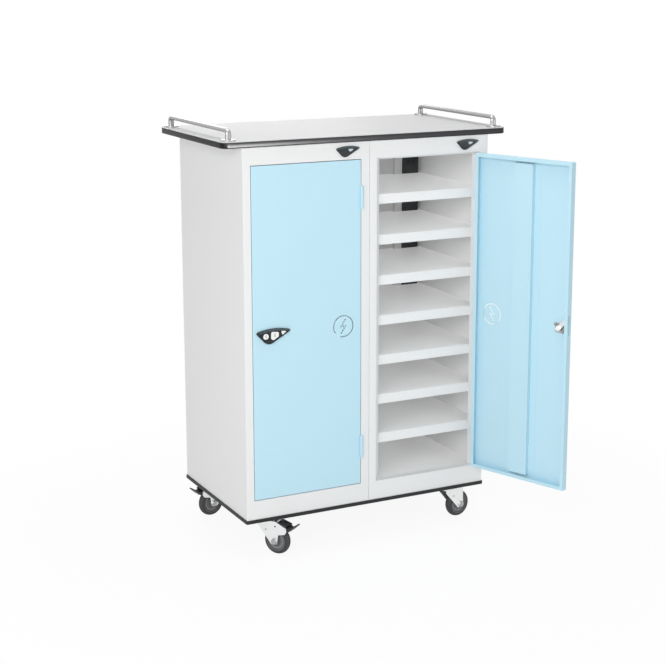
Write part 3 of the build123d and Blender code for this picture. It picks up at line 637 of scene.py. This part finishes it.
def lock_details(side, digit):
    """Numeral on the disc, painted shade on the floor of the key slit and a ring of painted shade round the
    plug.
    """
    place = door_place(side)
    lock = (Vector(joints["left_lock_turn"]["pos_m"]) - cabinet_start) / mm
    face = cabinet_box("left_lock_inserts")[0].y
    # Near-black floor of the key slit: painted shade
    slit = moved(prism(rounded_box(1.5, 7.8, 0.5, 3), 0.5, 1.15), lock.x, face, lock.z)
    shaped(f"{side}_key_slit", *slit, f"{side}_lock", slot_shadow, "insert_plastic", place)
    # Dark ring round the plug: painted shade of the gap between plug and plate
    ring = moved(lathe([(7.1, 0.3), (7.15, 0.05), (7.5, 0.05), (7.55, 0.3)], 40), lock.x, face, lock.z)
    shaped(f"{side}_plug_ring", *ring, f"{side}_lock", ink_and_painted_shade, "insert_plastic", place)
    disc_after_lock, print_proud, disc_over_lock = 26.5, 0.02, 1.0
    middle = Vector((lock.x + disc_after_lock, face - print_proud, lock.z + disc_over_lock)) * mm
    upright = Matrix.Rotation(math.radians(90.0), 4, "X")
    mesh = numeral_mesh(f"{side}_numeral", digit)
    mesh.transform(place @ Matrix.Translation(middle) @ upright)
    numeral = bpy.data.objects.new(f"{side}_numeral", mesh)
    bpy.context.scene.collection.objects.link(numeral)
    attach(numeral, f"{side}_door")


# A shield's tips and crown in X and Z, in mm from its left tip, and how much smaller a badge is
shield_tips = ((0.0, 0.0), (108.7, 1.5))
shield_crown = (55.2, 9.3)
badge_scale = 0.707

# A cap's profile: distances in mm inside the shield's edge and out from its face
cap_profile = np.array(((1.3, -0.15), (1.5, 0.2), (2.3, 0.4), (5.2, 0.45), (6.1, 0.25), (6.3, -0.15)))
cap_ends = (0.04, 0.915)


def brow(scale):
    """Cap along a shield's arched top, from its left tip, whose lighter grey is a painted highlight on the
    top bevel.

    The path is the circle through both tips and the crown. At a share t of its angle, the cap's
    outer edge keeps its distance inside the circle, and each other profile point lies further in by
    its width times sin(pi t)^0.3, so that the cap thins towards both tips. It ends short of the
    right one, which is the sharper.
    """
    left, crown, right = np.array((shield_tips[0], shield_crown, shield_tips[1]))
    others = np.array((crown, right))
    centre = np.linalg.solve(2.0 * others, (others ** 2).sum(1))
    radius = np.hypot(*centre)
    first, last = (math.atan2(*(tip - centre)[::-1]) for tip in (left, right))
    share = np.linspace(*cap_ends, 41)[:, None]
    angle = first + share * (last - first)
    inside, proud = cap_profile.T
    reach = radius - inside[0] - (inside - inside[0]) * np.sin(np.pi * share) ** 0.3
    x = centre[0] + reach * np.cos(angle)
    z = centre[1] + reach * np.sin(angle)
    return closed_grid(np.stack((x * scale, np.broadcast_to(-proud, x.shape), z * scale), -1))


def brows():
    """Caps of painted highlight on both lock plates and on the fascia badges, whose own tips are cut a
    little short.
    """
    lock_tip_cut, badge_tip_cut = 0.9, 0.6
    low, high = cabinet_box("left_lock_escutcheon")
    cap = moved(brow(1.0), low.x - lock_tip_cut, low.y, high.z - shield_crown[1])
    for side in sides:
        shaped(f"{side}_lock_brow", *cap, f"{side}_door", painted_highlight_cap, "escutcheon_plastic", door_place(side))
    low, high = cabinet_box("fascia_badges")
    cap = moved(brow(badge_scale), low.x - badge_tip_cut, low.y, high.z - shield_crown[1] * badge_scale)
    shaped("fascia_badge_brows", *joined(cap, moved(cap, unit_step)), "cabinet", painted_highlight_cap,
           "escutcheon_plastic", cabinet_place)


# Castors

def castor_details(castor):
    """A rivet on each side of the fork, and the bright shield over the ball race."""
    place = castor_place(castor)
    rivet_out, rivet_side, rivet_height = 4.0, 18.0, 71.0
    dome = lathe([(2.6, 0.0), (2.4, 0.5), (1.5, 0.95), (0.05, 1.1)], 20)
    rivets = [
        moved((dome[0] * np.array((1.0, side, 1.0)), dome[1]), rivet_out, side * rivet_side, rivet_height)
        for side in (-1.0, 1.0)
    ]
    shaped(f"{castor}_rivets", *joined(*rivets), f"{castor}_castor", axle_steel, "zinc", place)
    shield_top = 101.6
    section = [(22.6, 0.0), (24.4, -0.6), (25.2, -2.4), (24.8, -2.6), (23.9, -0.9), (22.6, -0.4)]
    points, faces = lathe(section, 48)
    upright = moved((points[:, (0, 2, 1)], faces), z=shield_top)
    shaped(f"{castor}_race_shield", *upright, "cabinet", finishes["zinc"], "zinc", place)


def brake_ridges(castor):
    """Five grip ridges across the upper pad of a brake lever, at even steps down its slope."""
    pad_top, pad_foot, pad_half = np.array((43.0, 99.5)), np.array((74.0, 91.0)), 13.6
    section = np.array(((-1.0, -0.3), (-0.5, 0.35), (0.5, 0.1), (1.0, -0.8)))
    ridges = [
        prism(section + pad_top + share * (pad_foot - pad_top), -pad_half, pad_half)
        for share in (0.18, 0.34, 0.5, 0.66, 0.82)
    ]
    shaped(f"{castor}_brake_ridges", *joined(*ridges), f"{castor}_brake", finishes["black_plastic"],
           "black_plastic", castor_place(castor))


worktop_band()
flange_screws()
access_screw_recesses()
inlet_screws()
brows()
for side, digit in zip(sides, "12"):
    socket_faces(side)
    lock_details(side, digit)
for castor in castors:
    castor_details(castor)
    if f"{castor}_brake_press" in joints:
        brake_ridges(castor)


# Floor, world and lamps

world_strength = 0.38


def paper_floor():
    """Pale floor that keeps the shadow: near the piece, the camera and reflections see it as plain white
    with a little of its own shade mixed in, and further out as white alone."""
    finish = Finish("floor_paper", base_color=(0.9, 0.9, 0.9), roughness=0.9, specular_ior_level=0.0)
    camera_ray = finish.node("ShaderNodeLightPath", {}, {}, "Is Camera Ray")
    glossy_ray = finish.node("ShaderNodeLightPath", {}, {}, "Is Glossy Ray")
    glow = finish.node("ShaderNodeEmission", {}, {"Color": (1.0, 1.0, 1.0), "Strength": 1.0})
    distance = finish.node("ShaderNodeVectorMath", {"operation": "LENGTH"}, {0: finish.place}, "Value")
    factor = (camera_ray + glossy_ray) * (0.92 + 0.08 * distance.over(0.7, 1.6))
    shader = Flow(finish, finish.shader.outputs[0])
    mixed = finish.node("ShaderNodeMixShader", {}, {0: factor, 1: shader, 2: glow})
    finish.tree.links.new(mixed.socket, finish.output.inputs[0])
    bpy.ops.mesh.primitive_plane_add(size=60.0)
    floor = bpy.context.object
    floor.name = "floor"
    floor.data.materials.append(finish.material)


def white_world():
    """Dim even light from all round, which the camera, reflections and clear parts see as plain white."""
    world = bpy.data.worlds.new("studio")
    bpy.context.scene.world = world
    world.use_nodes = True
    tree = world.node_tree
    tree.nodes.clear()
    link = tree.links.new
    path = tree.nodes.new("ShaderNodeLightPath")
    seen = path.outputs["Is Camera Ray"]
    for ray in ("Is Transmission Ray", "Is Glossy Ray"):
        total = tree.nodes.new("ShaderNodeMath")
        total.operation = "ADD"
        total.use_clamp = True
        link(seen, total.inputs[0])
        link(path.outputs[ray], total.inputs[1])
        seen = total.outputs[0]
    mix = tree.nodes.new("ShaderNodeMixShader")
    link(seen, mix.inputs[0])
    for place, strength in ((1, world_strength), (2, 1.0)):
        light = tree.nodes.new("ShaderNodeBackground")
        light.inputs["Color"].default_value = (1.0, 1.0, 1.0, 1.0)
        light.inputs["Strength"].default_value = strength
        link(light.outputs[0], mix.inputs[place])
    link(mix.outputs[0], tree.nodes.new("ShaderNodeOutputWorld").inputs[0])


def named(group, endings):
    """A collection of the pieces whose names have one of the endings."""
    found = bpy.data.collections.new(group)
    for piece in bpy.data.objects:
        if piece.name.endswith(endings):
            found.objects.link(piece)
    return found


def soft_lamp(name, place, aim, size, power, only=(), shaded_by=()):
    """A softbox of a width and a height in metres that points at its aim.

    Where endings of names are given, it lights only those pieces, or only those cast its shadows.
    """
    lamp = bpy.data.lights.new(name, "AREA")
    lamp.shape = "RECTANGLE"
    lamp.size, lamp.size_y = size
    lamp.energy = power
    holder = bpy.data.objects.new(name, lamp)
    bpy.context.scene.collection.objects.link(holder)
    holder.location = place
    holder.rotation_euler = (Vector(aim) - Vector(place)).to_track_quat("-Z", "Y").to_euler()
    if only:
        holder.light_linking.receiver_collection = named(f"{name}_lights", only)
    if shaded_by:
        holder.light_linking.blocker_collection = named(f"{name}_blockers", shaded_by)


paper_floor()
white_world()
soft_lamp("key_softbox", (-2.8, -3.2, 2.1), (0.1, 0, 0.6), (2.4, 2.2), 103.0)
soft_lamp("right_softbox", (2.6, -3.4, 1.0), (0.1, 0, 0.6), (1.6, 1.6), 12.0)
soft_lamp("top_softbox", (0.0, 0.1, 3.4), (0, 0, 0), (2.2, 2.2), 34.0)
soft_lamp("rear_softbox", (0.9, 3.8, 1.8), (0, 0, 0.6), (2.0, 2.0), 34.0)
soft_lamp("bay_softbox", (0.1, -1.5, 4.6), (0.1, 0.15, 0.6), (1.6, 1.2), 72.0,
          only=("shelves_skin", "_carcass_skin", "socket_strip_skin"), shaded_by=("_door_skin_skin",))
soft_lamp("edge_softbox", (-0.2, -2.9, 0.78), (-0.3, 0, 1.13), (2.1, 0.7), 600.0,
          only=("worktop_edging_band",))


# Camera

camera_place = (-1.9924, -3.7926, 1.6179)
camera_azimuth = 27.21
camera_tilt = 12.17
camera_lens = 83.29
camera_shift = (-0.0232, -0.05)
sensor_width = 36.0


def photograph_camera():
    """The photograph's own viewpoint, looking a little down with a small shift."""
    camera = bpy.data.cameras.new("camera")
    camera.lens = camera_lens
    camera.sensor_width = sensor_width
    camera.shift_x, camera.shift_y = camera_shift
    holder = bpy.data.objects.new("camera", camera)
    bpy.context.scene.collection.objects.link(holder)
    azimuth, tilt = math.radians(camera_azimuth), math.radians(camera_tilt)
    level = math.cos(tilt)
    along = Vector((math.sin(azimuth) * level, math.cos(azimuth) * level, -math.sin(tilt)))
    holder.location = camera_place
    holder.rotation_euler = along.to_track_quat("-Z", "Y").to_euler()
    bpy.context.scene.camera = holder


photograph_camera()
bpy.context.scene.view_settings.view_transform = "Standard"
